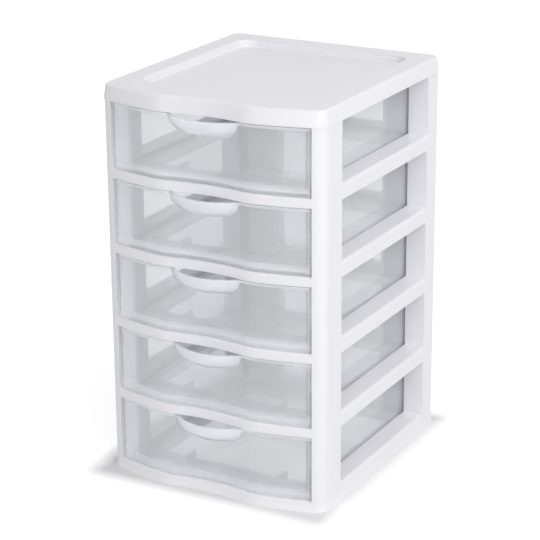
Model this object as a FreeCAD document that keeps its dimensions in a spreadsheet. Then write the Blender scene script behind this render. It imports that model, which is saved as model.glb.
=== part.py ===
import FreeCAD, Part
import math
import os
import Sketcher

# Five-tier plastic drawer tower.
# Millimetres. X runs to the right of someone facing the drawers, Y to the back, Z up.
# The origin is the centre of the tower's footprint, handles and lid lip included, at floor level.

# Driving sizes: name, value and what it measures
SIZES = [
    ("overall_depth", 219.0, "handle lip to the lid's back lip"),
    ("frame_width", 184.0, "outside width of a tier frame"),
    ("tier_pitch", 58.4, "height of one tier frame, seam to seam"),
    ("foot_height", 1.0, "rim that the lowest frame stands on"),
    ("foot_flare", 0.8, "how far that rim flares out"),
    ("foot_blend", 3.5, "height over which the flare fades out"),
    ("bow_apex_depth", 211.0, "back face to the apex of the bowed front"),
    ("bow_radius", 286.0, "plan radius of the bowed front"),
    ("scallop_depth", 6.5, "bow apex to the bottom of the finger scallop"),
    ("scallop_radius", 155.0, "plan radius of the finger scallop"),
    ("lobe_radius", 40.0, "plan radius where bow and scallop meet"),
    ("lobe_place", 34.0, "centre plane to the foremost point of each lobe"),
    ("corner_radius", 9.0, "outside corners of frame and lid"),
    ("wall", 2.0, "moulded wall of frame and lid"),
    ("ledge_height", 7.0, "front rail and drawer ledge, above the seam"),
    ("sill_height", 11.8, "side and back sills, above the seam"),
    ("sill_round", 2.6, "rounded outer edge of a side sill"),
    ("rail_chamfer", 1.0, "broken edge of the front rail"),
    ("mouth_half_width", 83.0, "half the drawer opening, at the front"),
    ("mouth_lip", 4.5, "straight part of the opening before it narrows"),
    ("mouth_taper_length", 6.8, "length over which the opening narrows"),
    ("bay_half_width", 75.6, "half the drawer bay behind the front posts"),
    ("back_sill_depth", 10.8, "back rail, front to back"),
    ("front_post_depth", 29.0, "front post on the side, from the corner line"),
    ("rear_post_depth", 24.3, "rear post on the side"),
    ("back_window_half_width", 47.0, "half the window in the back"),
    ("runner_width", 9.5, "side ledge that carries the drawer"),
    ("front_ledge_depth", 33.0, "front ledge, measured square to the rail"),
    ("back_ledge_depth", 14.0, "back ledge, in from the back sill"),
    ("ledge_corner_radius", 5.0, "corners of the floor opening"),
    ("guide_rib_place", 41.0, "centre plane to each guide rib"),
    ("guide_rib_length", 16.0, "guide rib behind the front ledge"),
    ("guide_rib_thickness", 2.2, "guide rib"),
    ("tongue_height", 5.0, "tongue on a post, up into the piece above"),
    ("tongue_clearance", 0.3, "gap round a tongue in its socket"),
    ("lid_height", 12.0, "lid skirt, seam to top"),
    ("lid_overhang", 0.8, "lid lip past the frame"),
    ("lid_draft", 1.9, "how far the skirt leans in, lip to top"),
    ("lid_chamfer", 1.3, "broken top edge of the lid"),
    ("tray_half_width", 74.0, "half the recess in the lid"),
    ("tray_back_rim", 18.5, "rim behind the recess"),
    ("tray_front_rim", 27.0, "rim before the recess, at the scallop"),
    ("tray_corner_radius", 13.0, "corners of the recess"),
    ("tray_step_depth", 2.4, "upper wall of the recess"),
    ("tray_step_width", 1.4, "step between the two recess walls"),
    ("tray_depth", 5.5, "depth of the recess"),
    ("drawer_rest_gap", 0.3, "gap under a drawer"),
    ("drawer_top_gap", 1.3, "gap over a drawer"),
    ("drawer_side_gap", 1.3, "gap on each side of a drawer"),
    ("drawer_back_gap", 3.0, "gap behind a drawer"),
    ("drawer_setback", 2.0, "drawer front behind the rail's face"),
    ("drawer_wall", 1.8, "drawer walls"),
    ("drawer_floor", 2.0, "drawer floor"),
    ("drawer_front_radius", 2.6, "vertical front corners of a drawer"),
    ("drawer_inner_radius", 0.8, "the same corners inside"),
    ("drawer_back_radius", 7.0, "vertical back corners of a drawer"),
    ("rim_height", 2.0, "rolled rim round a drawer's top"),
    ("rim_thickness", 2.8, "rolled rim, with the wall under it"),
    ("handle_radius", 43.0, "plan radius of the crescent handle's lip"),
    ("handle_drop", 13.6, "depth of the crescent handle"),
    ("cut_overrun", 20.0, "how far cutting shapes run past what they cut"),
]
TIERS = 5
FULL_TURN = 360
BOWL_BANDS = 3
ROW_OF_FIRST_SIZE = 2

doc = FreeCAD.newDocument("drawer_tower")
sheet = doc.addObject("Spreadsheet::Sheet", "Sizes")
for row, (size_name, size_value, meaning) in enumerate(SIZES, ROW_OF_FIRST_SIZE):
    sheet.set("A%d" % row, size_name)
    sheet.set("B%d" % row, str(size_value))
    sheet.set("C%d" % row, meaning)
    sheet.setAlias("B%d" % row, size_name)
doc.recompute()


class Size:
    """A size that keeps its number and the sheet formula for it side by side."""

    def __init__(self, number, formula):
        self.number = float(number)
        self.formula = formula

    def joined(self, other, sign, number):
        return Size(number, "(%s %s %s)" % (self.formula, sign, other.formula))

    def __add__(self, other):
        return self.joined(other, "+", self.number + other.number)

    def __sub__(self, other):
        return self.joined(other, "-", self.number - other.number)

    def __neg__(self):
        return Size(-self.number, "(-1 * %s)" % self.formula)

    def __mul__(self, other):
        if isinstance(other, Size):
            return self.joined(other, "*", self.number * other.number)
        return Size(self.number * other, "(%s * %r)" % (self.formula, other))

    def __truediv__(self, other):
        if isinstance(other, Size):
            return self.joined(other, "/", self.number / other.number)
        return Size(self.number / other, "(%s / %r)" % (self.formula, other))


ZERO = Size(0, "0")


def leg(longest, other):
    """Second short side of a right-angled triangle."""
    number = math.sqrt(longest.number ** 2 - other.number ** 2)
    return Size(number, "sqrt(%s ^ 2 - %s ^ 2)" % (longest.formula, other.formula))


def slant(one, other):
    """Long side of a right-angled triangle."""
    number = math.hypot(one.number, other.number)
    return Size(number, "sqrt(%s ^ 2 + %s ^ 2)" % (one.formula, other.formula))


def arctangent(rise, run):
    """Angle in degrees whose tangent is one size over another."""
    number = math.degrees(math.atan(rise.number / run.number))
    return Size(number, "atan(%s / %s)" % (rise.formula, run.formula))


class Named:
    """The sheet's sizes as attributes."""


named = Named()
for size_name, size_value, meaning in SIZES:
    setattr(named, size_name, Size(sheet.get(size_name), "Sizes." + size_name))

# Places that several pieces share
back_y = named.overall_depth / 2 - named.lid_overhang
half_width = named.frame_width / 2
bow_centre_y = back_y - named.bow_apex_depth + named.bow_radius
scallop_bottom_y = back_y - named.bow_apex_depth + named.scallop_depth
corner_centre_y = bow_centre_y - leg(
    named.bow_radius - named.corner_radius, half_width - named.corner_radius
)
taper_start_y = corner_centre_y - named.corner_radius + named.mouth_lip
taper_end_y = taper_start_y + named.mouth_taper_length
front_post_y = corner_centre_y - named.corner_radius + named.front_post_depth
rear_post_y = back_y - named.rear_post_depth
bay_back_y = back_y - named.back_sill_depth
runner_edge_x = named.bay_half_width - named.runner_width


def seam_height(tier):
    """Height at which a tier frame starts."""
    return named.foot_height + named.tier_pitch * tier


def drawer_height(tier):
    return seam_height(tier) + named.ledge_height + named.drawer_rest_gap


def bind(thing, prop, size):
    """Ties a property to the sheet."""
    thing.setExpression(prop, size.formula)


def plane_of(body, role):
    for feature in body.Origin.OriginFeatures:
        if feature.Role == role:
            return feature
    raise RuntimeError("no plane " + role)


def new_sketch(body, name, role="XY_Plane", height=ZERO):
    sketch = body.newObject("Sketcher::SketchObject", name)
    sketch.AttachmentSupport = [(plane_of(body, role), "")]
    sketch.MapMode = "FlatFace"
    bind(sketch, "AttachmentOffset.Base.z", height)
    return sketch


def hold(sketch, kind, places, size):
    """A driving dimension, bound to the sheet."""
    index = sketch.addConstraint(Sketcher.Constraint(kind, *places, size.number))
    sketch.setExpression("Constraints[%d]" % index, size.formula)


def draw_polygon(sketch, corners):
    """A closed polygon whose corners are all bound to the sheet."""
    points = [FreeCAD.Vector(x.number, y.number, 0) for x, y in corners]
    first = sketch.GeometryCount
    count = len(points)
    for index in range(count):
        sketch.addGeometry(Part.LineSegment(points[index], points[(index + 1) % count]))
    for index in range(count):
        following = (index + 1) % count
        sketch.addConstraint(
            Sketcher.Constraint("Coincident", first + index, 2, first + following, 1)
        )
    for index, (x, y) in enumerate(corners):
        hold(sketch, "DistanceX", (-1, 1, first + index, 1), x)
        hold(sketch, "DistanceY", (-1, 1, first + index, 1), y)


def mirrored(corners):
    return [(-x, y) for x, y in corners]


def arc_between(centre, start, end, clockwise=False):
    """Arc about a centre, from one point to another."""
    radius = math.hypot(start[0] - centre[0], start[1] - centre[1])
    circle = Part.Circle(FreeCAD.Vector(centre[0], centre[1], 0), FreeCAD.Vector(0, 0, 1), radius)
    first = math.atan2(start[1] - centre[1], start[0] - centre[0])
    last = math.atan2(end[1] - centre[1], end[0] - centre[0])
    if clockwise:
        first, last = last, first
    return Part.ArcOfCircle(circle, first, last)


def along(centre, towards, reach):
    """Point at a reach from a centre, in the direction of another point."""
    dx = towards[0] - centre[0]
    dy = towards[1] - centre[1]
    span = math.hypot(dx, dy)
    return (centre[0] + dx * reach / span, centre[1] + dy * reach / span)


def draw_plan(sketch, half, back, inset, front_round, back_round, waist=None):
    """Closed plan outline with the tower's bowed and scalloped front.

    half is the half width at the front and back the rear edge. inset is the distance
    behind the frame's own front. waist, if given, is the narrower half width behind
    the front and where the narrowing starts and ends.
    """
    bow = (named.bow_radius - inset)
    scallop = (named.scallop_radius + inset)
    lobe = (named.lobe_radius - inset)
    scallop_centre_y = scallop_bottom_y + inset - scallop
    bow_centre = (0.0, bow_centre_y.number)
    scallop_centre = (0.0, scallop_centre_y.number)

    # The lobe arc touches the bow from inside and the scallop from outside
    to_bow = bow.number - lobe.number
    to_scallop = scallop.number + lobe.number
    apart = bow_centre[1] - scallop_centre[1]
    rise = (to_scallop ** 2 - to_bow ** 2 + apart ** 2) / (2 * apart)
    lobe_x = math.sqrt(to_scallop ** 2 - rise ** 2)
    lobe_y = scallop_centre[1] + rise

    corner_x = half.number - front_round.number
    corner_y = bow_centre[1] - math.sqrt(
        (bow.number - front_round.number) ** 2 - corner_x ** 2
    )
    rear = (waist[0] if waist else half)
    rear_x = rear.number - back_round.number
    rear_y = back.number - back_round.number

    def side(sign):
        """Points of one side, from the scallop round to the back."""
        lobe_centre = (sign * lobe_x, lobe_y)
        corner_centre = (sign * corner_x, corner_y)
        points = {
            "lobe": lobe_centre,
            "corner": corner_centre,
            "rear": (sign * rear_x, rear_y),
            "scallop_end": along(scallop_centre, lobe_centre, scallop.number),
            "lobe_end": along(bow_centre, lobe_centre, bow.number),
            "bow_end": along(bow_centre, corner_centre, bow.number),
            "corner_end": (sign * half.number, corner_y),
            "rear_start": (sign * rear.number, rear_y),
            "rear_end": (sign * rear_x, back.number),
        }
        return points

    right = side(1)
    left = side(-1)

    def line(start, end):
        return Part.LineSegment(
            FreeCAD.Vector(start[0], start[1], 0), FreeCAD.Vector(end[0], end[1], 0)
        )

    # Arcs run anticlockwise whichever way the outline goes, so each piece notes
    # which of its ends comes first on the way round
    pieces = [
        (arc_between(scallop_centre, left["scallop_end"], right["scallop_end"], True), 2, 1),
        (arc_between(right["lobe"], right["scallop_end"], right["lobe_end"]), 1, 2),
        (arc_between(bow_centre, right["lobe_end"], right["bow_end"]), 1, 2),
        (arc_between(right["corner"], right["bow_end"], right["corner_end"]), 1, 2),
    ]
    if waist:
        start_y = waist[1].number
        end_y = waist[2].number
        pieces.append((line(right["corner_end"], (half.number, start_y)), 1, 2))
        pieces.append((line((half.number, start_y), (rear.number, end_y)), 1, 2))
        pieces.append((line((rear.number, end_y), right["rear_start"]), 1, 2))
    else:
        pieces.append((line(right["corner_end"], right["rear_start"]), 1, 2))
    pieces.append((arc_between(right["rear"], right["rear_start"], right["rear_end"]), 1, 2))
    pieces.append((line(right["rear_end"], left["rear_end"]), 1, 2))
    pieces.append((arc_between(left["rear"], left["rear_end"], left["rear_start"]), 1, 2))
    if waist:
        pieces.append((line(left["rear_start"], (-rear.number, end_y)), 1, 2))
        pieces.append((line((-rear.number, end_y), (-half.number, start_y)), 1, 2))
        pieces.append((line((-half.number, start_y), left["corner_end"]), 1, 2))
    else:
        pieces.append((line(left["rear_start"], left["corner_end"]), 1, 2))
    pieces.append((arc_between(left["corner"], left["corner_end"], left["bow_end"]), 1, 2))
    pieces.append((arc_between(bow_centre, left["bow_end"], left["lobe_end"]), 1, 2))
    pieces.append((arc_between(left["lobe"], left["lobe_end"], left["scallop_end"]), 1, 2))

    first = sketch.GeometryCount
    for piece, head, tail in pieces:
        sketch.addGeometry(piece)
    count = len(pieces)
    waist_joints = (4, 5, 10, 11) if waist else ()
    for index in range(count):
        following = (index + 1) % count
        kind = "Coincident" if index in waist_joints else "Tangent"
        sketch.addConstraint(
            Sketcher.Constraint(
                kind, first + index, pieces[index][2], first + following, pieces[following][1]
            )
        )

    scallop_arc = first
    right_bow = first + 2
    left_bow = first + count - 2
    back_line = first + (8 if waist else 6)
    hold(sketch, "Radius", (scallop_arc,), scallop)
    hold(sketch, "Radius", (right_bow,), bow)
    hold(sketch, "Radius", (left_bow,), bow)
    hold(sketch, "Radius", (first + 1,), lobe)
    hold(sketch, "Radius", (first + count - 1,), lobe)
    hold(sketch, "Radius", (first + 3,), front_round)
    hold(sketch, "Radius", (first + count - 3,), front_round)
    hold(sketch, "Radius", (back_line - 1,), back_round)
    hold(sketch, "Radius", (back_line + 1,), back_round)
    sketch.addConstraint(Sketcher.Constraint("PointOnObject", scallop_arc, 3, -2))
    sketch.addConstraint(Sketcher.Constraint("PointOnObject", right_bow, 3, -2))
    sketch.addConstraint(Sketcher.Constraint("Coincident", right_bow, 3, left_bow, 3))
    hold(sketch, "DistanceY", (-1, 1, right_bow, 3), bow_centre_y)
    hold(sketch, "DistanceY", (-1, 1, scallop_arc, 3), scallop_centre_y)
    sketch.addConstraint(Sketcher.Constraint("Horizontal", back_line))
    hold(sketch, "DistanceY", (-1, 1, back_line, 1), back)
    right_side = first + 4
    left_side = first + count - 4
    sketch.addConstraint(Sketcher.Constraint("Vertical", right_side))
    sketch.addConstraint(Sketcher.Constraint("Vertical", left_side))
    hold(sketch, "DistanceX", (-1, 1, right_side, 1), half)
    hold(sketch, "DistanceX", (-1, 1, left_side, 2), -half)
    if waist:
        sketch.addConstraint(Sketcher.Constraint("Vertical", right_side + 2))
        sketch.addConstraint(Sketcher.Constraint("Vertical", left_side - 2))
        hold(sketch, "DistanceX", (-1, 1, right_side + 2, 1), rear)
        hold(sketch, "DistanceX", (-1, 1, left_side - 2, 2), -rear)
        hold(sketch, "DistanceY", (-1, 1, right_side + 1, 1), waist[1])
        hold(sketch, "DistanceY", (-1, 1, right_side + 1, 2), waist[2])
        hold(sketch, "DistanceY", (-1, 1, left_side - 1, 2), waist[1])
        hold(sketch, "DistanceY", (-1, 1, left_side - 1, 1), waist[2])


def grown(body, name, sketch, length):
    """Adds material above a sketch."""
    pad = body.newObject("PartDesign::Pad", name)
    pad.Profile = sketch
    bind(pad, "Length", length)
    return pad


def sunk(body, name, sketch, depth, upwards=False):
    """Cuts down from a sketch, or up from it."""
    pocket = body.newObject("PartDesign::Pocket", name)
    pocket.Profile = sketch
    bind(pocket, "Length", depth)
    pocket.Reversed = upwards
    return pocket


def cut_through(body, name, sketch, both_ways=False):
    pocket = body.newObject("PartDesign::Pocket", name)
    pocket.Profile = sketch
    pocket.Type = "ThroughAll"
    pocket.Midplane = both_ways
    return pocket


def edges_of(body, name, wanted):
    """The solid so far, and the names of its edges that the test accepts."""
    doc.recompute()
    base = body.Tip
    picks = []
    for index, edge in enumerate(base.Shape.Edges, 1):
        if wanted(edge):
            picks.append("Edge%d" % index)
    if not picks:
        raise RuntimeError("no edges for " + name)
    return (base, picks)


def rounded(body, name, radius, wanted):
    picks = edges_of(body, name, wanted)
    fillet = body.newObject("PartDesign::Fillet", name)
    fillet.Base = picks
    bind(fillet, "Radius", radius)
    return fillet


def bevelled(body, name, size, wanted):
    picks = edges_of(body, name, wanted)
    chamfer = body.newObject("PartDesign::Chamfer", name)
    chamfer.Base = picks
    bind(chamfer, "Size", size)
    return chamfer


NEAR = named.rail_chamfer.number / 100


def near(a, b):
    return abs(a - b) < NEAR


def flat_at(edge, height):
    """The whole edge lies at one height."""
    box = edge.BoundBox
    return near(box.ZMin, height.number) and near(box.ZMax, height.number)


def post_hollows(shrink):
    """Plans of the hollow inside each post, drawn in from it by a clearance."""
    wall = named.wall + shrink
    outer_x = half_width - wall
    inner_x = named.bay_half_width + wall
    mouth_x = named.mouth_half_width + wall
    corner_in = half_width - named.corner_radius
    nose_y = corner_centre_y - named.corner_radius + wall
    front = [
        (inner_x, front_post_y - wall),
        (inner_x, taper_end_y),
        (mouth_x, taper_start_y),
        (mouth_x, nose_y),
        (mouth_x + named.wall / 2, nose_y),
        (outer_x, corner_centre_y),
        (outer_x, front_post_y - wall),
    ]
    rear_corner_y = back_y - named.corner_radius
    rear = [
        (inner_x, rear_post_y + wall),
        (outer_x, rear_post_y + wall),
        (outer_x, rear_corner_y),
        (corner_in, back_y - wall),
        (named.back_window_half_width + wall, back_y - wall),
        (named.back_window_half_width + wall, bay_back_y + wall),
        (inner_x, bay_back_y + wall),
    ]
    return [front, mirrored(front), rear, mirrored(rear)]


def make_frame(name, tier):
    """One tier of the carcass: a hollow rail ring with a ledge, and four posts."""
    body = doc.addObject("PartDesign::Body", name)
    lowest = tier == 0
    bottom = -named.foot_height if lowest else ZERO
    foot = named.foot_height if lowest else ZERO

    plan = new_sketch(body, name + "_plan")
    draw_plan(plan, half_width, back_y, ZERO, named.corner_radius, named.corner_radius)
    grown(body, name + "_block", plan, named.tier_pitch)

    if lowest:
        flare = named.foot_flare
        rim = new_sketch(body, name + "_rim", height=bottom)
        draw_plan(
            rim, half_width + flare, back_y + flare, -flare,
            named.corner_radius + flare, named.corner_radius + flare,
        )
        fade = new_sketch(body, name + "_fade", height=named.foot_blend)
        draw_plan(fade, half_width, back_y, ZERO, named.corner_radius, named.corner_radius)
        foot_rim = body.newObject("PartDesign::AdditiveLoft", name + "_foot")
        foot_rim.Profile = rim
        foot_rim.Sections = [fade]
        foot_rim.Ruled = True

    # The bay that a drawer slides in, open at the front and at the top
    past_front = -(back_y + named.cut_overrun)
    bay = new_sketch(body, name + "_bay", height=named.tier_pitch)
    bay_side = [
        (named.mouth_half_width, past_front),
        (named.mouth_half_width, taper_start_y),
        (named.bay_half_width, taper_end_y),
        (named.bay_half_width, bay_back_y),
    ]
    draw_polygon(bay, bay_side + mirrored(bay_side)[::-1])
    sunk(body, name + "_bay_cut", bay, named.tier_pitch - named.ledge_height)

    # Side windows, open at the top because the piece above closes them
    past_top = named.tier_pitch + named.cut_overrun
    side_window = new_sketch(body, name + "_side_window", "YZ_Plane")
    draw_polygon(side_window, [
        (front_post_y, named.sill_height),
        (rear_post_y, named.sill_height),
        (rear_post_y, past_top),
        (front_post_y, past_top),
    ])
    cut_through(body, name + "_side_window_cut", side_window, both_ways=True)

    # Back window
    window_x = named.back_window_half_width
    back_window = new_sketch(body, name + "_back_window", "XZ_Plane")
    draw_polygon(back_window, [
        (-window_x, named.sill_height),
        (window_x, named.sill_height),
        (window_x, past_top),
        (-window_x, past_top),
    ])
    cut_through(body, name + "_back_window_cut", back_window)

    # Opening in the floor, with the ledge left round it
    floor_back_y = bay_back_y - named.back_ledge_depth
    opening = new_sketch(body, name + "_floor_opening", height=named.ledge_height)
    draw_plan(
        opening, runner_edge_x, floor_back_y, named.front_ledge_depth,
        named.ledge_corner_radius, named.ledge_corner_radius,
    )
    sunk(body, name + "_floor_cut", opening, named.ledge_height + named.cut_overrun)

    # Hollow underside of the ledge
    ring = new_sketch(body, name + "_ring_hollow", height=bottom)
    outer_x = half_width - named.wall
    outer_y = back_y - named.wall
    corner_x = half_width - named.corner_radius
    nose_y = corner_centre_y - named.corner_radius + named.wall
    trough_y = scallop_bottom_y + named.wall
    lobe_x = named.lobe_place
    ring_outer = [
        (lobe_x, trough_y),
        (corner_x, nose_y),
        (outer_x, corner_centre_y),
        (outer_x, back_y - named.corner_radius),
        (corner_x, outer_y),
    ]
    draw_polygon(ring, ring_outer + mirrored(ring_outer)[::-1])
    inner_x = runner_edge_x + named.wall
    ledge_bow = named.bow_radius - named.front_ledge_depth
    behind_corner_y = bow_centre_y - leg(ledge_bow, runner_edge_x) - named.wall
    behind_lobe_y = bow_centre_y - leg(ledge_bow, lobe_x) - named.wall
    ring_inner = [
        (lobe_x, behind_lobe_y),
        (inner_x, behind_corner_y),
        (inner_x, floor_back_y + named.wall),
    ]
    draw_polygon(ring, ring_inner + mirrored(ring_inner)[::-1])
    sunk(body, name + "_ring_cut", ring, named.ledge_height - named.wall + foot, upwards=True)

    # Deeper hollow under the side and back sills
    sill_depth = named.sill_height - named.wall + foot
    inner_x = named.bay_half_width + named.wall
    outer_x = half_width - named.wall
    side_hollow = [
        (inner_x, front_post_y - named.wall),
        (outer_x, front_post_y - named.wall),
        (outer_x, rear_post_y + named.wall),
        (inner_x, rear_post_y + named.wall),
    ]
    back_hollow = [
        (-window_x - named.wall, bay_back_y + named.wall),
        (window_x + named.wall, bay_back_y + named.wall),
        (window_x + named.wall, back_y - named.wall),
        (-window_x - named.wall, back_y - named.wall),
    ]
    under_sills = new_sketch(body, name + "_sill_hollow", height=bottom)
    draw_polygon(under_sills, side_hollow)
    draw_polygon(under_sills, mirrored(side_hollow))
    draw_polygon(under_sills, back_hollow)
    sunk(body, name + "_sill_cut", under_sills, sill_depth, upwards=True)

    # Hollow posts, closed at the top
    in_posts = new_sketch(body, name + "_post_hollow", height=bottom)
    for corners in post_hollows(ZERO):
        draw_polygon(in_posts, corners)
    sunk(body, name + "_post_cut", in_posts, named.tier_pitch - named.wall + foot, upwards=True)

    # Tongues that locate the piece above
    tongues = new_sketch(body, name + "_tongues", height=named.tier_pitch)
    for corners in post_hollows(named.tongue_clearance):
        draw_polygon(tongues, corners)
    grown(body, name + "_tongue_blocks", tongues, named.tongue_height)

    # Two short guide ribs behind the front ledge
    rib_start_y = scallop_bottom_y + named.front_ledge_depth - named.wall * 2
    rib_in = named.guide_rib_place - named.guide_rib_thickness / 2
    rib_out = named.guide_rib_place + named.guide_rib_thickness / 2
    rib = [
        (rib_in, rib_start_y),
        (rib_out, rib_start_y),
        (rib_out, rib_start_y + named.guide_rib_length),
        (rib_in, rib_start_y + named.guide_rib_length),
    ]
    ribs = new_sketch(body, name + "_ribs")
    draw_polygon(ribs, rib)
    draw_polygon(ribs, mirrored(rib))
    grown(body, name + "_guide_ribs", ribs, named.ledge_height)

    # Softened edges
    def on_side_sill(edge):
        box = edge.BoundBox
        at_outside = near(abs(box.XMin), half_width.number)
        runs_back = box.YLength > box.XLength + box.ZLength
        return flat_at(edge, named.sill_height) and at_outside and runs_back

    def on_rail_front(edge):
        box = edge.BoundBox
        behind_rail = scallop_bottom_y.number + named.mouth_taper_length.number
        inside_mouth = abs(box.XMin) <= named.mouth_half_width.number + NEAR
        return flat_at(edge, named.ledge_height) and box.YMax < behind_rail and inside_mouth

    rounded(body, name + "_sill_round", named.sill_round, on_side_sill)
    bevelled(body, name + "_rail_chamfer", named.rail_chamfer, on_rail_front)
    bind(body, "Placement.Base.z", seam_height(tier))
    return body


def draw_rounded_box(sketch, half, front, back, radius):
    """A closed rectangle with round corners, even about the centre plane."""
    corner_x = half.number - radius.number
    front_y = front.number + radius.number
    rear_y = back.number - radius.number

    def line(x1, y1, x2, y2):
        return Part.LineSegment(FreeCAD.Vector(x1, y1, 0), FreeCAD.Vector(x2, y2, 0))

    def corner(x, y, quarter):
        circle = Part.Circle(
            FreeCAD.Vector(x, y, 0), FreeCAD.Vector(0, 0, 1), radius.number
        )
        return Part.ArcOfCircle(circle, quarter * math.pi / 2, (quarter + 1) * math.pi / 2)

    pieces = [
        line(-corner_x, front.number, corner_x, front.number),
        corner(corner_x, front_y, 3),
        line(half.number, front_y, half.number, rear_y),
        corner(corner_x, rear_y, 0),
        line(corner_x, back.number, -corner_x, back.number),
        corner(-corner_x, rear_y, 1),
        line(-half.number, rear_y, -half.number, front_y),
        corner(-corner_x, front_y, 2),
    ]
    first = sketch.GeometryCount
    count = len(pieces)
    for piece in pieces:
        sketch.addGeometry(piece)
    for index in range(count):
        following = (index + 1) % count
        sketch.addConstraint(
            Sketcher.Constraint("Tangent", first + index, 2, first + following, 1)
        )
    for index in (1, 3, 5, 7):
        hold(sketch, "Radius", (first + index,), radius)
    sketch.addConstraint(Sketcher.Constraint("Horizontal", first))
    sketch.addConstraint(Sketcher.Constraint("Vertical", first + 2))
    sketch.addConstraint(Sketcher.Constraint("Horizontal", first + 4))
    sketch.addConstraint(Sketcher.Constraint("Vertical", first + 6))
    hold(sketch, "DistanceY", (-1, 1, first, 1), front)
    hold(sketch, "DistanceX", (-1, 1, first + 2, 1), half)
    hold(sketch, "DistanceY", (-1, 1, first + 4, 1), back)
    hold(sketch, "DistanceX", (-1, 1, first + 6, 1), -half)


def make_lid(name):
    """Top cover: a leaning skirt, a stepped recess and a hollow underside."""
    body = doc.addObject("PartDesign::Body", name)
    over = named.lid_overhang
    lean_angle = arctangent(named.lid_draft, named.lid_height)
    lip = new_sketch(body, name + "_lip")
    draw_plan(
        lip, half_width + over, back_y + over, -over,
        named.corner_radius + over, named.corner_radius + over,
    )
    block = grown(body, name + "_block", lip, named.lid_height)
    bind(block, "TaperAngle", -lean_angle)

    def on_top(edge):
        return flat_at(edge, named.lid_height)

    bevelled(body, name + "_top_chamfer", named.lid_chamfer, on_top)

    # Hollow under the top skin, parallel to the skirt
    inset = named.wall - over
    under = new_sketch(body, name + "_under")
    draw_plan(
        under, half_width - inset, back_y - inset, inset,
        named.corner_radius - inset, named.corner_radius - inset,
    )
    hollow = sunk(body, name + "_hollow", under, named.lid_height - named.wall, upwards=True)
    bind(hollow, "TaperAngle", -lean_angle)

    # The recess hangs in that hollow as a tub with its own walls
    tray_front = scallop_bottom_y + named.tray_front_rim
    tray_back = back_y - named.tray_back_rim
    tub_bottom = named.lid_height - named.tray_depth - named.wall
    tub = new_sketch(body, name + "_tub", height=tub_bottom)
    draw_rounded_box(
        tub, named.tray_half_width + named.wall, tray_front - named.wall,
        tray_back + named.wall, named.tray_corner_radius + named.wall,
    )
    grown(body, name + "_tub_block", tub, named.tray_depth)
    tray = new_sketch(body, name + "_tray", height=named.lid_height)
    draw_rounded_box(
        tray, named.tray_half_width, tray_front, tray_back, named.tray_corner_radius
    )
    sunk(body, name + "_tray_cut", tray, named.tray_step_depth)
    step = named.tray_step_width
    well = new_sketch(body, name + "_well", height=named.lid_height)
    draw_rounded_box(
        well, named.tray_half_width - step, tray_front + step, tray_back - step,
        named.tray_corner_radius - step,
    )
    sunk(body, name + "_well_cut", well, named.tray_depth)
    bind(body, "Placement.Base.z", seam_height(TIERS))
    return body


def quarter_round(centre_x, radius):
    """Corners of a quarter circle below a centre, from its left end to its lowest point."""
    corners = []
    for band in range(BOWL_BANDS + 1):
        angle = math.pi / 2 * band / BOWL_BANDS
        corners.append((centre_x - radius * math.cos(angle), -(radius * math.sin(angle))))
    return corners


def turned(body, kind, name, sketch):
    """Solid of revolution about the sketch's upright axis, added or cut away."""
    turn = body.newObject("PartDesign::" + kind, name)
    turn.Profile = sketch
    turn.ReferenceAxis = (sketch, ["V_Axis"])
    turn.Angle = FULL_TURN
    return turn


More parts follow.
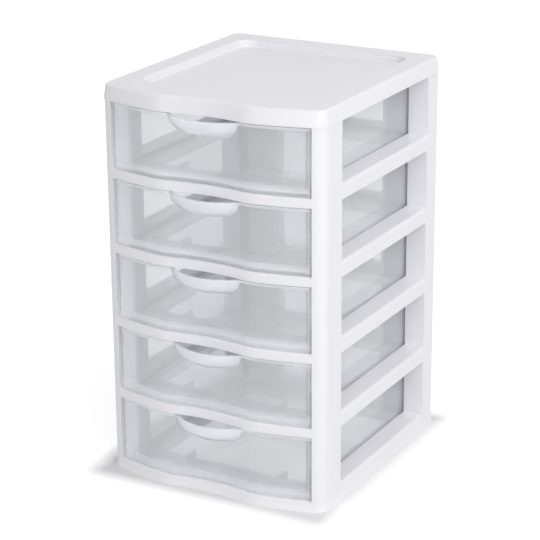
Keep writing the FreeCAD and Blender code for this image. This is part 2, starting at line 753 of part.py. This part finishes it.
def make_drawer(name, tier):
    """A thin-walled tray whose front follows the rail, with a crescent bowl for a handle."""
    body = doc.addObject("PartDesign::Body", name)
    gap = named.drawer_side_gap
    height = named.tier_pitch - named.ledge_height - named.drawer_rest_gap - named.drawer_top_gap
    front_half = named.mouth_half_width - gap
    body_half = named.bay_half_width - gap
    tray_back_y = bay_back_y - named.drawer_back_gap

    # Offset of a slanting wall's ends, so that the wall keeps its thickness
    narrowing = front_half - body_half
    slope = slant(narrowing, named.mouth_taper_length)
    shift_ratio = (slope - named.mouth_taper_length) / narrowing

    def draw_tray(sketch, thickness):
        shift = shift_ratio * thickness
        draw_plan(
            sketch, front_half - thickness, tray_back_y - thickness,
            named.drawer_setback + thickness,
            named.drawer_inner_radius if thickness.number else named.drawer_front_radius,
            named.drawer_back_radius - thickness,
            (body_half - thickness, taper_start_y - shift, taper_end_y - shift),
        )

    plan = new_sketch(body, name + "_plan")
    draw_tray(plan, ZERO)
    grown(body, name + "_block", plan, height)

    # The handle is part of a ring-shaped bowl about an upright axis inside the drawer
    lip_y = -named.overall_depth / 2
    wall_y = scallop_bottom_y + named.drawer_setback
    reach = wall_y - lip_y
    axis_y = lip_y + named.handle_radius
    bowl_radius = (reach * reach + named.handle_drop * named.handle_drop) / (reach * 2)
    ring_radius = named.handle_radius - bowl_radius
    inner_reach = ring_radius - bowl_radius / 2

    def bowl_sketch(suffix):
        sketch = new_sketch(body, name + suffix, "YZ_Plane")
        bind(sketch, "AttachmentOffset.Base.x", axis_y)
        bind(sketch, "AttachmentOffset.Base.y", height)
        return sketch

    outer = bowl_sketch("_bowl_plan")
    draw_polygon(outer, quarter_round(-ring_radius, bowl_radius) + [
        (-inner_reach, -bowl_radius),
        (-inner_reach, ZERO),
    ])
    turned(body, "Revolution", name + "_bowl", outer)

    # The rim's inner edge is a plainer outline than the wall below it
    rim = named.rim_thickness
    rim_bow = named.bow_radius - named.drawer_setback - rim
    narrow_x = body_half - rim
    rim_shift = shift_ratio * rim
    corner_cut = named.drawer_back_radius - rim
    mouth_side = [
        (named.lobe_place, bow_centre_y - leg(rim_bow, named.lobe_place)),
        (front_half - rim, taper_start_y - rim_shift),
        (narrow_x, taper_end_y - rim_shift),
        (narrow_x, tray_back_y - rim - corner_cut),
        (narrow_x - corner_cut, tray_back_y - rim),
    ]
    mouth = new_sketch(body, name + "_mouth", height=height)
    draw_polygon(
        mouth, [(ZERO, wall_y + rim)] + mouth_side + mirrored(mouth_side)[::-1]
    )
    sunk(body, name + "_mouth_cut", mouth, named.rim_height)
    inside = new_sketch(body, name + "_inside", height=height - named.rim_height)
    draw_tray(inside, named.drawer_wall)
    sunk(body, name + "_inside_cut", inside, height - named.rim_height - named.drawer_floor)

    thinned = bowl_radius - named.drawer_wall
    hollow = bowl_sketch("_bowl_hollow")
    under_rim = [
        (-ring_radius - leg(thinned, named.rim_height), -named.rim_height),
    ]
    draw_polygon(hollow, [
        (-named.handle_radius + named.rim_thickness, ZERO),
        (-named.handle_radius + named.rim_thickness, -named.rim_height),
    ] + under_rim + quarter_round(-ring_radius, thinned)[1:] + [
        (-inner_reach, -thinned),
        (-inner_reach, ZERO),
    ])
    turned(body, "Groove", name + "_bowl_cut", hollow)
    bind(body, "Placement.Base.z", drawer_height(tier))
    return body


def make_copy(name, source, height):
    """The same moulding again, at another height."""
    body = doc.addObject("PartDesign::Body", name)
    body.BaseFeature = source
    bind(body, "Placement.Base.z", height)
    return body


# The lowest frame has a foot rim, and the frames above it are all alike
frames = [make_frame("frame_tier_1", 0), make_frame("frame_tier_2", 1)]
for tier in range(len(frames), TIERS):
    frames.append(make_copy("frame_tier_%d" % (tier + 1), frames[1], seam_height(tier)))
drawers = [make_drawer("drawer_1", 0)]
for tier in range(len(drawers), TIERS):
    drawers.append(make_copy("drawer_%d" % (tier + 1), drawers[0], drawer_height(tier)))
parts = frames + [make_lid("lid_cover")] + drawers

doc.recompute()

for thing in doc.Objects:
    if "Invalid" in thing.State or "Error" in thing.State:
        raise RuntimeError("failed: " + thing.Name + " " + str(thing.State))
for part in parts:
    if part.Shape.isNull() or not part.Shape.isValid():
        raise RuntimeError("bad shape: " + part.Label)

os.makedirs("parts", exist_ok=True)
for part in parts:
    part.Shape.exportStep("parts/%s.step" % part.Label)
    box = part.Shape.BoundBox
    print(part.Label, "volume", round(part.Shape.Volume), "solids", len(part.Shape.Solids),
          "x", round(box.XMin, 2), round(box.XMax, 2), "y", round(box.YMin, 2), round(box.YMax, 2),
          "z", round(box.ZMin, 2), round(box.ZMax, 2))
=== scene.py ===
import math

import bpy
from mathutils import Matrix, Vector


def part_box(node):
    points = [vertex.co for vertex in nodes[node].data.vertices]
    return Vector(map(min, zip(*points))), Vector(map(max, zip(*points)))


# Plastic drawer tower: white moulded frames and lid, clear drawers.
# Metres. X right, -Y the way the drawers open, Z up.

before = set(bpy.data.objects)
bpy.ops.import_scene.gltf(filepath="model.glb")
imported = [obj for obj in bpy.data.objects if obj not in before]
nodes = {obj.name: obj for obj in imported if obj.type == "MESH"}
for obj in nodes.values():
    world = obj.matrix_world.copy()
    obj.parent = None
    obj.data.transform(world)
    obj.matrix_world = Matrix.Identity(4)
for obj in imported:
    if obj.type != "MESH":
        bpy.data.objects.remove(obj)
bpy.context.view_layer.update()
WHITE_NODES = ["lid_cover"] + ["frame_tier_%d" % n for n in range(1, 6)]
CLEAR_NODES = ["drawer_%d" % n for n in range(1, 6)]

# Underside of the lowest drawer, from one drawer to the next, and a drawer's height
FIRST_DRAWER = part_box("drawer_1")[0][2]
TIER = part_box("drawer_2")[0][2] - FIRST_DRAWER
DRAWER_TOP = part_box("drawer_1")[1][2] - FIRST_DRAWER

# Plan of a drawer's scalloped wall, which the handle stands in front of: its centre's Y
# and its radius. The milky look sets in between the two distances inside that radius.
SCALLOP_CENTRE = -0.2508
SCALLOP_FACE = 0.157
HANDLE_CLEAR, HANDLE_MILKY = 0.0006, 0.0016

# Heights over a drawer's underside between which the milky look sets in
HANDLE_HEIGHTS = (0.031, 0.034)
RIM_HEIGHTS = (DRAWER_TOP - 0.0024, DRAWER_TOP - 0.0019)
FOOT_HEIGHTS = (0.009, 0.003)
FRONT_WALL = (-0.078, -0.086)

# How milky the rim and the foot of the front get, and what milkiness takes off the clarity
RIM_MILK, FOOT_MILK, MILK_LOSS = 0.9, 0.5, 0.34
CLEAR_COLOUR = (0.855, 0.865, 0.88)
MILKY_COLOUR = (0.92, 0.935, 0.965)
CLARITY, CLARITY_SWING = 0.80, 0.02
WHITE_DARKER = (0.90, 0.892, 0.93)
WHITE_LIGHTER = (0.915, 0.908, 0.945)
SHADOW_TINT = (0.985, 0.985, 0.99, 1)

# Width of the softened edges, and the angle in degrees from which an edge is softened
WHITE_EDGE, CLEAR_EDGE = 0.0003, 0.0004
SHARP, SHARP_LID = 40, 22

# The floor's lift to white for the camera, next to the foot and a reach away from it,
# and for what is seen by reflection or through the drawers. The low lift next to the foot
# paints a contact shadow: there the floor's darkness is partly its real shade, partly painted
# shadow.
PAINTED_SHADOW_LIFT, UNDER_LIFT, FAR_LIFT = 0.02, 0.45, 0.62
PAINTED_SHADOW_REACH = 0.020
FLOOR_SIZE = 12
LEFT_LIGHT, RIGHT_LIGHT = 0.36, 0.50
LAMP_TARGET = (0, 0, 0.15)

# Camera solved from the photograph's frame corners and window edges
AZIMUTH, ELEVATION, ROLL = (math.radians(a) for a in (29.115, 19.227, 0.437))
CAMERA_PLACE = (0.68247, -1.22671, 0.63771)
FOCAL_PIXELS, PHOTO_PIXELS, SENSOR = 1925.0, 540, 36


class Tree:
    """Short names for building a material's node tree."""

    def __init__(self, name):
        self.material = bpy.data.materials.new(name)
        self.material.use_nodes = True
        self.tree = self.material.node_tree
        self.tree.nodes.clear()
        self.output = self.add("ShaderNodeOutputMaterial")

    def add(self, kind, **values):
        node = self.tree.nodes.new(kind)
        for key, value in values.items():
            setattr(node, key, value)
        return node

    def link(self, source, target):
        self.tree.links.new(source, target)

    def axes(self):
        """The X, Y and Z of the object coordinates."""
        place = self.add("ShaderNodeTexCoord")
        split = self.add("ShaderNodeSeparateXYZ")
        self.link(place.outputs["Object"], split.inputs[0])
        return split.outputs

    def noise(self, scale, detail, roughness, stretch=(1, 1, 1)):
        """Noise over the object coordinates, stretched."""
        place = self.add("ShaderNodeTexCoord")
        mapping = self.add("ShaderNodeMapping")
        mapping.inputs["Scale"].default_value = stretch
        self.link(place.outputs["Object"], mapping.inputs["Vector"])
        node = self.add("ShaderNodeTexNoise")
        node.inputs["Scale"].default_value = scale
        node.inputs["Detail"].default_value = detail
        node.inputs["Roughness"].default_value = roughness
        self.link(mapping.outputs["Vector"], node.inputs["Vector"])
        return node.outputs["Fac"]

    def spread(self, source, low, high, out_low, out_high):
        """Maps a value's range onto another."""
        node = self.add("ShaderNodeMapRange")
        node.inputs["From Min"].default_value = low
        node.inputs["From Max"].default_value = high
        node.inputs["To Min"].default_value = out_low
        node.inputs["To Max"].default_value = out_high
        self.link(source, node.inputs["Value"])
        return node.outputs["Result"]

    def math(self, operation, one, other=0):
        node = self.add("ShaderNodeMath", operation=operation)
        for socket, value in zip(node.inputs, (one, other)):
            if isinstance(value, (int, float)):
                socket.default_value = value
            else:
                self.link(value, socket)
        return node.outputs[0]

    def blend_colour(self, factor, one, other):
        node = self.add("ShaderNodeMix", data_type="RGBA")
        node.inputs["A"].default_value = (*one, 1)
        node.inputs["B"].default_value = (*other, 1)
        self.link(factor, node.inputs["Factor"])
        return node.outputs["Result"]

    def bumps(self, layers):
        """Stacked bumps: (height source, strength, distance in metres)."""
        normal = None
        for source, strength, distance in layers:
            bump = self.add("ShaderNodeBump")
            bump.inputs["Strength"].default_value = strength
            bump.inputs["Distance"].default_value = distance
            self.link(source, bump.inputs["Height"])
            if normal is not None:
                self.link(normal, bump.inputs["Normal"])
            normal = bump.outputs["Normal"]
        return normal


def white_plastic():
    """Injection-moulded white: faint flow clouds, shallow waves and a fine satin grain."""
    t = Tree("white_plastic")
    shader = t.add("ShaderNodeBsdfPrincipled")
    clouds = t.noise(9.0, 4.0, 0.55, (1, 1, 0.35))
    grain = t.noise(1900.0, 2.0, 0.6)
    waves = t.noise(42.0, 2.0, 0.5, (1, 1, 0.5))
    colour = t.blend_colour(t.spread(clouds, 0.3, 0.7, 0, 1), WHITE_DARKER, WHITE_LIGHTER)
    t.link(colour, shader.inputs["Base Color"])
    t.link(t.spread(clouds, 0.25, 0.75, 0.30, 0.42), shader.inputs["Roughness"])
    shader.inputs["IOR"].default_value = 1.49
    normal = t.bumps([(waves, 0.05, 0.0003), (grain, 0.10, 0.00004)])
    t.link(normal, shader.inputs["Normal"])
    t.link(shader.outputs["BSDF"], t.output.inputs["Surface"])
    return t.material


def milkiness(t):
    """0 where a drawer is clear, up to 1 on its handle, its rim and the foot of its front."""
    place = t.axes()
    height = t.math("MODULO", t.math("SUBTRACT", place["Z"], FIRST_DRAWER), TIER)
    out = t.math("SUBTRACT", place["Y"], SCALLOP_CENTRE)
    out = t.math("SQRT", t.math("ADD", t.math("POWER", place["X"], 2), t.math("POWER", out, 2)))
    ahead = t.spread(out, SCALLOP_FACE - HANDLE_CLEAR, SCALLOP_FACE - HANDLE_MILKY, 0, 1)
    handle = t.math("MULTIPLY", ahead, t.spread(height, *HANDLE_HEIGHTS, 0, 1))
    rim = t.spread(height, *RIM_HEIGHTS, 0, RIM_MILK)
    low = t.spread(height, *FOOT_HEIGHTS, 0, FOOT_MILK)
    foot = t.math("MULTIPLY", low, t.spread(place["Y"], *FRONT_WALL, 0, 1))
    return t.math("MAXIMUM", handle, t.math("MAXIMUM", rim, foot))


def clear_plastic():
    """Clear moulded styrene with a slight haze, milkier where it is thick."""
    t = Tree("clear_plastic")
    shader = t.add("ShaderNodeBsdfPrincipled")
    flow = t.noise(16.0, 3.0, 0.5, (1, 1, 0.25))
    scuffs = t.noise(240.0, 5.0, 0.7, (1, 0.15, 1))
    milky = milkiness(t)
    t.link(t.blend_colour(milky, CLEAR_COLOUR, MILKY_COLOUR), shader.inputs["Base Color"])
    haze = t.spread(flow, 0.3, 0.7, CLARITY + CLARITY_SWING, CLARITY - CLARITY_SWING)
    clarity = t.math("SUBTRACT", haze, t.math("MULTIPLY", milky, MILK_LOSS))
    t.link(clarity, shader.inputs["Transmission Weight"])
    t.link(t.spread(scuffs, 0.35, 0.8, 0.0, 0.04), shader.inputs["Roughness"])
    # The walls bend little light, and the coat carries the gloss
    shader.inputs["IOR"].default_value = 1.06
    shader.inputs["Coat Weight"].default_value = 0.8
    shader.inputs["Coat IOR"].default_value = 1.45
    shader.inputs["Coat Roughness"].default_value = 0.04
    t.link(t.bumps([(flow, 0.03, 0.0006)]), shader.inputs["Normal"])

    # Lamps shine through the walls, as they do through real styrene
    passing = t.add("ShaderNodeBsdfTransparent")
    passing.inputs["Color"].default_value = SHADOW_TINT
    path = t.add("ShaderNodeLightPath")
    mix = t.add("ShaderNodeMixShader")
    t.link(path.outputs["Is Shadow Ray"], mix.inputs["Fac"])
    t.link(shader.outputs["BSDF"], mix.inputs[1])
    t.link(passing.outputs["BSDF"], mix.inputs[2])
    t.link(mix.outputs["Shader"], t.output.inputs["Surface"])
    return t.material


def dress(obj, material, edge_width, sharp):
    """Gives a CAD node its material, soft edges and smooth shading."""
    obj.data.materials.clear()
    obj.data.materials.append(material)
    weld = obj.modifiers.new("weld", "WELD")
    weld.merge_threshold = 1e-6
    flat = obj.modifiers.new("flat", "DECIMATE")
    flat.decimate_type = "DISSOLVE"
    flat.angle_limit = math.radians(0.5)
    bevel = obj.modifiers.new("bevel", "BEVEL")
    bevel.width = edge_width
    bevel.segments = 2
    bevel.limit_method = "ANGLE"
    bevel.angle_limit = math.radians(sharp)
    bevel.harden_normals = False
    for polygon in obj.data.polygons:
        polygon.use_smooth = True
    normals = obj.modifiers.new("normals", "WEIGHTED_NORMAL")
    normals.keep_sharp = True


def seen_directly(tree):
    """1 for camera, mirror and glass rays, 0 for the rays that carry light."""
    path = tree.nodes.new("ShaderNodeLightPath")
    either = path.outputs["Is Camera Ray"]
    for ray in ("Is Glossy Ray", "Is Transmission Ray"):
        most = tree.nodes.new("ShaderNodeMath")
        most.operation = "MAXIMUM"
        tree.links.new(either, most.inputs[0])
        tree.links.new(path.outputs[ray], most.inputs[1])
        either = most.outputs[0]
    return either


def from_foot(t):
    """How far a point of the floor lies outside the box round the lowest frame's foot."""
    place = t.axes()
    low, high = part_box("frame_tier_1")
    squares = 0
    for axis in (0, 1):
        off = t.math("SUBTRACT", place[axis], (low[axis] + high[axis]) / 2)
        off = t.math("SUBTRACT", t.math("ABSOLUTE", off), (high[axis] - low[axis]) / 2)
        squares = t.math("ADD", squares, t.math("POWER", t.math("MAXIMUM", off, 0), 2))
    return t.math("SQRT", squares)


def floor_material():
    """Pale studio floor, seen as white away from the object's foot, with a painted contact
    shadow where its lift fades next to the foot.
    """
    t = Tree("studio_floor")
    shader = t.add("ShaderNodeBsdfPrincipled")
    shader.inputs["Base Color"].default_value = (0.82, 0.82, 0.82, 1)
    shader.inputs["Roughness"].default_value = 0.9
    shader.inputs["Specular IOR Level"].default_value = 0.1
    shader.inputs["Emission Color"].default_value = (1, 1, 1, 1)
    # The lift fades out towards the foot: a painted contact shadow on top of the floor's real
    # shade
    lift = t.spread(from_foot(t), 0, PAINTED_SHADOW_REACH, PAINTED_SHADOW_LIFT, FAR_LIFT)
    # Seen by reflection or through the drawers the painted shadow is lighter: the lift stays at
    # least at the under lift
    path = t.add("ShaderNodeLightPath")
    reflected = t.math("SUBTRACT", 1, path.outputs["Is Camera Ray"])
    lift = t.math("MAXIMUM", lift, t.math("MULTIPLY", reflected, UNDER_LIFT))
    strength = t.math("MULTIPLY", seen_directly(t.tree), lift)
    t.link(strength, shader.inputs["Emission Strength"])
    t.link(shader.outputs["BSDF"], t.output.inputs["Surface"])
    return t.material


def studio_world():
    """Soft light from all round, weaker from the left. What is seen of it is plain white."""
    world = bpy.data.worlds.new("studio")
    bpy.context.scene.world = world
    world.use_nodes = True
    tree = world.node_tree
    tree.nodes.clear()
    output = tree.nodes.new("ShaderNodeOutputWorld")
    place = tree.nodes.new("ShaderNodeTexCoord")
    split = tree.nodes.new("ShaderNodeSeparateXYZ")
    tree.links.new(place.outputs["Generated"], split.inputs[0])
    fade = tree.nodes.new("ShaderNodeMapRange")
    fade.inputs["From Min"].default_value = -1.0
    fade.inputs["From Max"].default_value = 1.0
    fade.inputs["To Min"].default_value = LEFT_LIGHT
    fade.inputs["To Max"].default_value = RIGHT_LIGHT
    tree.links.new(split.outputs["X"], fade.inputs["Value"])
    soft = tree.nodes.new("ShaderNodeBackground")
    soft.inputs["Color"].default_value = (0.985, 0.985, 1, 1)
    tree.links.new(fade.outputs["Result"], soft.inputs["Strength"])
    seen = tree.nodes.new("ShaderNodeBackground")
    seen.inputs["Color"].default_value = (1, 1, 1, 1)
    mix = tree.nodes.new("ShaderNodeMixShader")
    tree.links.new(seen_directly(tree), mix.inputs["Fac"])
    tree.links.new(soft.outputs[0], mix.inputs[1])
    tree.links.new(seen.outputs[0], mix.inputs[2])
    tree.links.new(mix.outputs[0], output.inputs["Surface"])


def softbox(name, place, size, power):
    """A rectangular lamp that faces the tower."""
    light = bpy.data.lights.new(name, "AREA")
    light.shape = "RECTANGLE"
    light.size, light.size_y = size
    light.energy = power
    obj = bpy.data.objects.new(name, light)
    bpy.context.scene.collection.objects.link(obj)
    obj.location = place
    aim = Vector(LAMP_TARGET) - Vector(place)
    obj.rotation_euler = aim.to_track_quat("-Z", "Y").to_euler()


def photo_camera():
    """The camera of the photograph, as the scene's camera."""
    right = Vector((math.cos(AZIMUTH), math.sin(AZIMUTH), 0))
    back = Vector((
        math.sin(AZIMUTH) * math.cos(ELEVATION),
        -math.cos(AZIMUTH) * math.cos(ELEVATION),
        math.sin(ELEVATION),
    ))
    up = back.cross(right)
    side = right * math.cos(ROLL) - up * math.sin(ROLL)
    top = right * math.sin(ROLL) + up * math.cos(ROLL)
    data = bpy.data.cameras.new("camera")
    data.sensor_width = SENSOR
    data.lens = FOCAL_PIXELS * SENSOR / PHOTO_PIXELS
    data.clip_start = 0.05
    camera = bpy.data.objects.new("camera", data)
    bpy.context.scene.collection.objects.link(camera)
    rows = zip(side, top, back, CAMERA_PLACE)
    camera.matrix_world = Matrix((*rows, (0, 0, 0, 1)))
    bpy.context.scene.camera = camera


white = white_plastic()
clear = clear_plastic()
for name in WHITE_NODES:
    dress(nodes[name], white, WHITE_EDGE, SHARP_LID if name == "lid_cover" else SHARP)
for name in CLEAR_NODES:
    dress(nodes[name], clear, CLEAR_EDGE, SHARP)

bpy.ops.mesh.primitive_plane_add(size=FLOOR_SIZE, location=(0, 0, 0))
floor = bpy.context.object
floor.name = "studio_floor"
floor.data.materials.append(floor_material())

studio_world()
softbox("key_softbox", (1.18, -0.29, 1.74), (1.4, 1.2), 15.5)
softbox("front_softbox", (0.85, -1.70, 0.60), (1.3, 0.9), 10.2)
photo_camera()
bpy.context.scene.view_settings.view_transform = "Standard"
